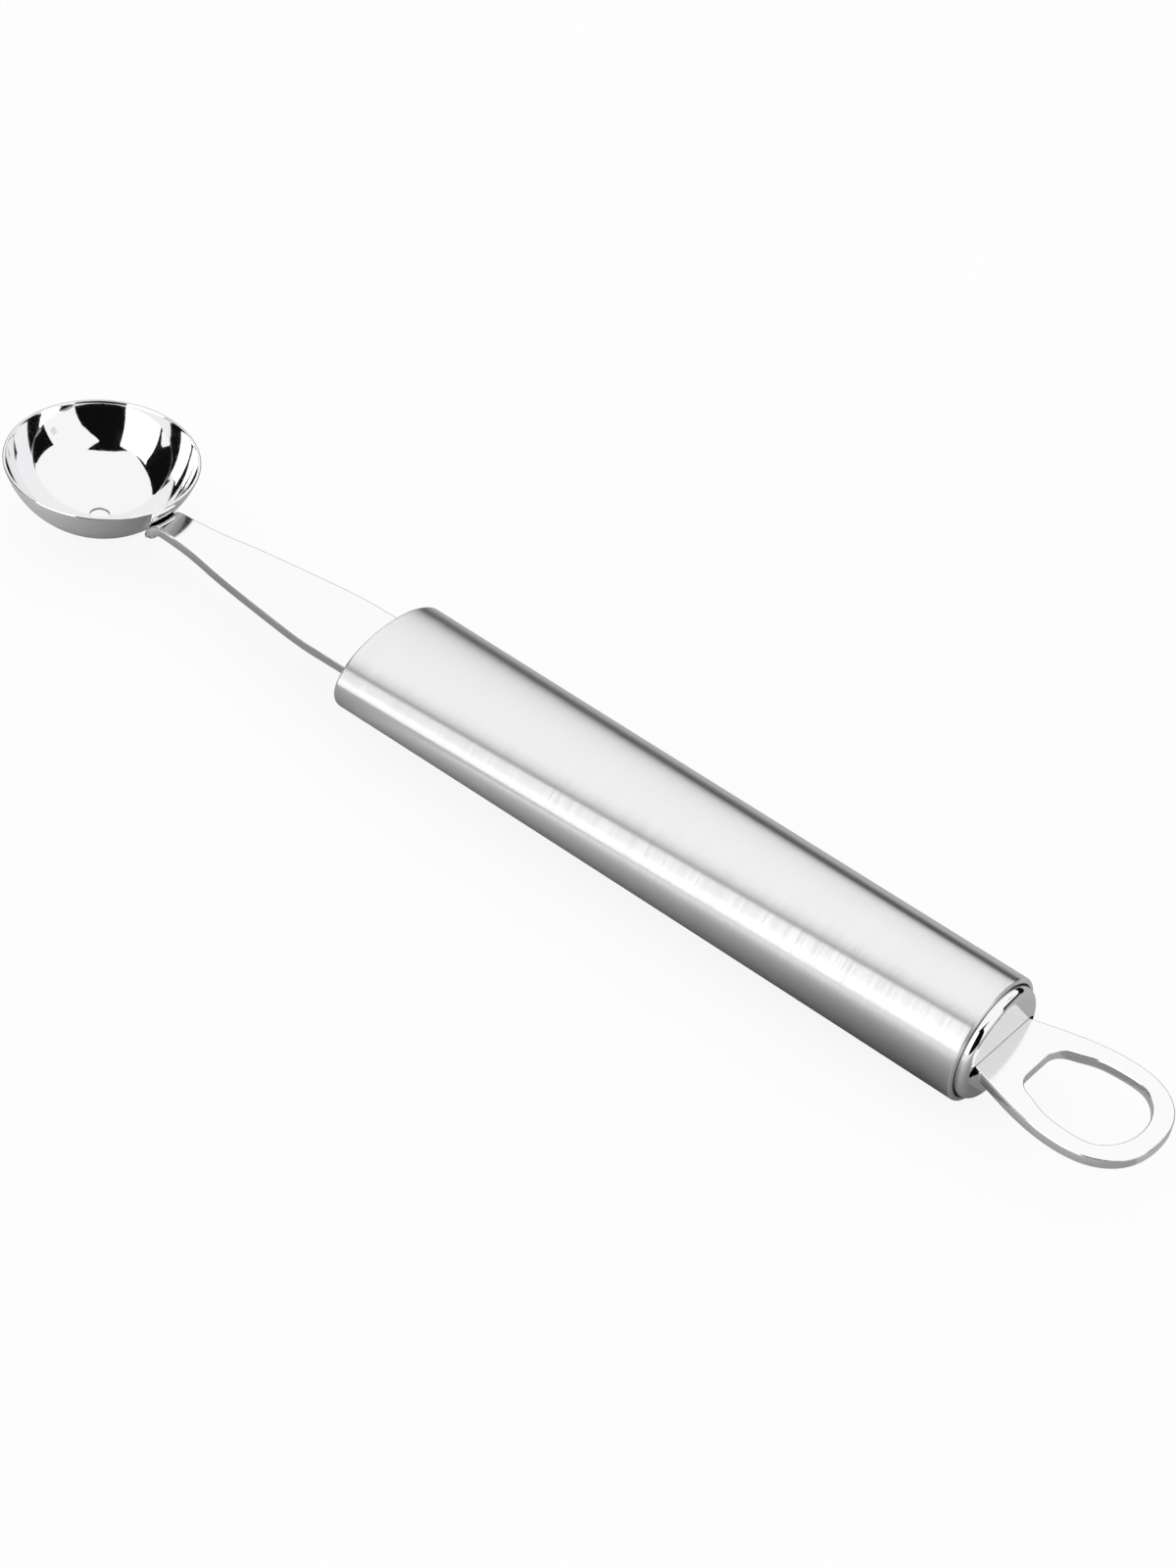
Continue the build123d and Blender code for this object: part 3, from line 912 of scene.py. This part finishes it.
def add_floor(name, low, high, height, material):
    """A level rectangle under the tool, from its low to its high corner."""
    bm = bmesh.new()
    bmesh.ops.create_grid(bm, x_segments=1, y_segments=1, size=0.5)
    bmesh.ops.scale(bm, vec=(high[0] - low[0], high[1] - low[1], 1), verts=bm.verts)
    middle = ((low[0] + high[0]) / 2, (low[1] + high[1]) / 2, height)
    bmesh.ops.translate(bm, vec=middle, verts=bm.verts)
    return set_on_stage(name, bm, material)


def add_card(name, stations, distance, material):
    """A card on the sky; its stations are azimuth, low and high elevation in degrees."""
    bm = bmesh.new()
    spans = len(stations) - 1
    bmesh.ops.create_grid(bm, x_segments=6 * spans, y_segments=16, size=0.5)
    for vert in bm.verts:
        along = (vert.co.x + 0.5) * spans
        span = min(int(along + TOUCH), spans - 1)
        azimuth, low, high = Vector(stations[span]).lerp(Vector(stations[span + 1]), along - span)
        vert.co = sky_place(azimuth, low + (high - low) * (vert.co.y + 0.5), distance)
    hide_from_view(set_on_stage(name, bm, material))


def graded_paper(name, colour, shade, direction, start, end):
    """Matt paper, its grey running in a direction from a shade at the start, the tool's painted
    shadow where it is darker, to a colour.
    """
    material, tree = new_material(name)
    across = add_node(tree, "ShaderNodeVectorMath", {"operation": "DOT_PRODUCT"}, {
        0: object_place(tree), 1: direction})
    away = between(tree, across.outputs["Value"], start, end, 0.0, 1.0)
    # Painted shadow: the paper's colour at the start of the grade, beside the tool
    near = add_node(tree, "ShaderNodeBsdfDiffuse", {}, {"Color": shade})
    far = add_node(tree, "ShaderNodeBsdfDiffuse", {}, {"Color": colour})
    set_surface(tree, add_node(tree, "ShaderNodeMixShader", {}, {
        "Fac": away, 1: near.outputs[0], 2: far.outputs[0]}))
    return material


def floor_paper(colour, glow):
    """Matt white paper that looks evenly lit, but keeps a share of its shadow."""
    material, tree = new_material("matt_white_paper")
    diffuse = add_node(tree, "ShaderNodeBsdfDiffuse", {}, {"Color": colour})
    lit = add_node(tree, "ShaderNodeEmission", {}, {"Color": WHITE, "Strength": 1.0})
    rays = add_node(tree, "ShaderNodeLightPath", {}, {}).outputs
    seen = rays["Is Camera Ray"]
    for ray in ("Is Glossy Ray", "Is Transmission Ray"):
        either = add_node(tree, "ShaderNodeMath", {"operation": "MAXIMUM"}, {0: seen, 1: rays[ray]})
        seen = either.outputs[0]
    share = between(tree, seen, 0.0, 1.0, 0.0, glow)
    set_surface(tree, add_node(tree, "ShaderNodeMixShader", {}, {
        "Fac": share, 1: diffuse.outputs[0], 2: lit.outputs[0]}))
    return material


def glowing(name, colour, strength):
    """A card or panel that sends out an even light."""
    material, tree = new_material(name)
    set_surface(tree, add_node(tree, "ShaderNodeEmission", {}, {
        "Color": colour, "Strength": strength}))
    return material


# Cards and the light panel that the steel mirrors: material, nearness as a share of the card
# distance, and stations
CARDS = {
    "card_left": ("dark", 1.0, ((-179.5, -1, 27.5), (-165, -1, 35), (-150, -1, 40),
                                (-136, -1, 43.3), (-128, -1, 38), (-117, -1, 4),
                                (-115.5, -1, -0.5))),
    "card_left_top": ("dark", 1.0, ((-140, 40, 42.5), (-128, 41.6, 44.2), (-110, 44.3, 45))),
    "card_camera": ("dark", 1.0, ((-93.5, 47, 47.4), (-86, 47, 50.3), (-79, 46.6, 53),
                                  (-78, 46, 53.3), (-75, 22, 54.2), (-72, -1, 55), (-60, -1, 56.6),
                                  (-42, -1, 57.2))),
    "card_camera_low": ("dark", 1.0, ((-42, -1, 45), (-37, -1, 41), (-30, -1, 36), (-20, -1, 25),
                                      (-17, -1, 17), (-15, -1, 9), (-14.5, -1, 3))),
    "card_camera_top": ("dark", 1.0, ((-42, 46.5, 57.2), (-32, 50, 56.2), (-19, 54, 54.2))),
    "card_right": ("dark", 1.0, ((27, -1, 29.5), (33, 8.5, 27.9), (63, 8.5, 20), (67, 8.5, 16))),
    "horizon_right": ("grey", 1.1, ((27, -1, 10), (67, -1, 10))),
    "corner_right": ("pale", 0.049, ((25.5, 22.5, 34), (37.5, 22.5, 34))),
    "card_far": ("dark", 1.0, ((66, -1, 18), (180, -1, 18))),
    "wedge_left": ("white", 0.95, ((-137, 3, 9), (-131, 3, 16.5), (-127, 3, 16), (-121, 3, 8))),
    "panel": ("panel", 1.1, ((-132, 0.5, 42), (-120, 0.5, 44.5), (-105, 0.5, 45), (-72, 0.5, 45))),
}


def light_room(scene):
    """Light the scene evenly from a white room."""
    world = bpy.data.worlds.new("white_room")
    world.use_nodes = True
    tree = world.node_tree
    tree.nodes.clear()
    background = add_node(tree, "ShaderNodeBackground", {}, {"Color": WHITE, "Strength": 1.0})
    add_node(tree, "ShaderNodeOutputWorld", {}, {"Surface": background.outputs[0]})
    scene.world = world


def set_camera(scene, place, lens):
    """Stand the camera in the photograph's place and turn it the photograph's way."""
    data = bpy.data.cameras.new("camera")
    data.lens = lens
    data.sensor_width = 36.0
    data.clip_start, data.clip_end = 0.01, 20.0
    camera = bpy.data.objects.new("camera", data)
    right = Vector((0.768729, 0.628825, 0.116765))
    down = Vector((0.488248, -0.459056, -0.742214))
    forward = Vector((-0.413121, 0.627572, -0.659913))
    turn = Matrix((right, -down, -forward)).transposed().to_4x4()
    camera.matrix_world = Matrix.Translation(place) @ turn
    scene.collection.objects.link(camera)
    scene.camera = camera


class MELON_OT_studio(Operator):
    """Set the white room, the floor, the papers with the tool's painted shade and the cards that
    the steel mirrors, and the camera
    """

    bl_idname = "melon.studio"
    bl_label = "Studio"

    def execute(self, context):
        scene, studio = context.scene, context.scene.melon_baller.studio
        scene.view_settings.view_transform = "Standard"
        light_room(scene)
        add_floor("floor", (-2.5, -2.5), (2.5, 2.5), cad_low.z - 0.1 * MM,
                  floor_paper(studio.floor_colour, studio.floor_glow))

        # The papers meet along the tool's middle, at the mouth and just before the rear end
        far = 2.0
        rear = REAR_X - 1 * MM
        # A grade has the direction that it runs in, and the places where it starts and ends;
        # outwards, the papers run from the tool's painted shadow beside it to their own colour, and
        # endwards from the blade's painted shade to the scoop's.
        outwards = ((0.2, 1.0, 0.0), 8 * MM, -62 * MM)
        endwards = ((1.0, 0.0, 0.0), -70 * MM, -92 * MM)
        papers = (
            ("paper_under_scoop", (-far, -far), (MOUTH_X, 0.0),
             studio.scoop_painted_shade, studio.blade_painted_shade, endwards),
            ("paper_under_tube", (MOUTH_X, -far), (rear, 0.0),
             studio.near_paper, studio.tube_painted_shadow, outwards),
            ("paper_under_loop", (rear, -far), (far, 0.0),
             studio.near_paper, studio.loop_painted_shadow, outwards),
            ("paper_behind", (-far, 0.0), (far, far), studio.far_paper, studio.far_paper, outwards),
        )
        for name, low, high, colour, shade, grade in papers:
            paper = graded_paper(name, colour, shade, *grade)
            hide_from_view(add_floor(name, low, high, cad_low.z, paper))

        materials = {"dark": glowing("black_velvet", studio.dark_card, 1.0),
                     "grey": glowing("grey_paper", studio.grey_card, 1.0),
                     "pale": glowing("pale_paper", studio.pale_card, 1.0),
                     "white": glowing("white_paper", WHITE, 1.0),
                     "panel": glowing("light_panel", WHITE, studio.panel_strength)}
        for name, (kind, nearness, stations) in CARDS.items():
            add_card(name, stations, nearness * studio.card_distance, materials[kind])
        set_camera(scene, studio.camera_place, studio.lens)
        return {"FINISHED"}


class VIEW3D_PT_melon_baller(Panel):
    """Lists the steps and settings of the melon baller"""

    bl_label = "Melon baller"
    bl_space_type = "VIEW_3D"
    bl_region_type = "UI"
    bl_category = "Melon baller"

    def draw(self, context):
        for operator in STEPS:
            self.layout.operator(operator.bl_idname)
        for group in BallerSettings.__annotations__:
            settings = getattr(context.scene.melon_baller, group)
            box = self.layout.box()
            box.label(text=group.capitalize())
            for name in settings.__annotations__:
                box.prop(settings, name)


STEPS = (MELON_OT_scoop, MELON_OT_shank, MELON_OT_handle, MELON_OT_end_cap, MELON_OT_loop,
         MELON_OT_inner_pieces, MELON_OT_studio)
GROUPS = (ScoopSettings, ShankSettings, HandleSettings, CapSettings, LoopSettings, FinishSettings,
          StudioSettings, BallerSettings)


def register():
    for cls in (*GROUPS, *STEPS, VIEW3D_PT_melon_baller):
        bpy.utils.register_class(cls)
    bpy.types.Scene.melon_baller = PointerProperty(type=BallerSettings)


def unregister():
    del bpy.types.Scene.melon_baller
    for cls in reversed((*GROUPS, *STEPS, VIEW3D_PT_melon_baller)):
        bpy.utils.unregister_class(cls)


def main():
    register()
    bpy.ops.melon.scoop()
    bpy.ops.melon.shank()
    bpy.ops.melon.handle()
    bpy.ops.melon.end_cap()
    bpy.ops.melon.loop()
    bpy.ops.melon.inner_pieces()
    bpy.ops.melon.studio()


if __name__ == "__main__":
    main()
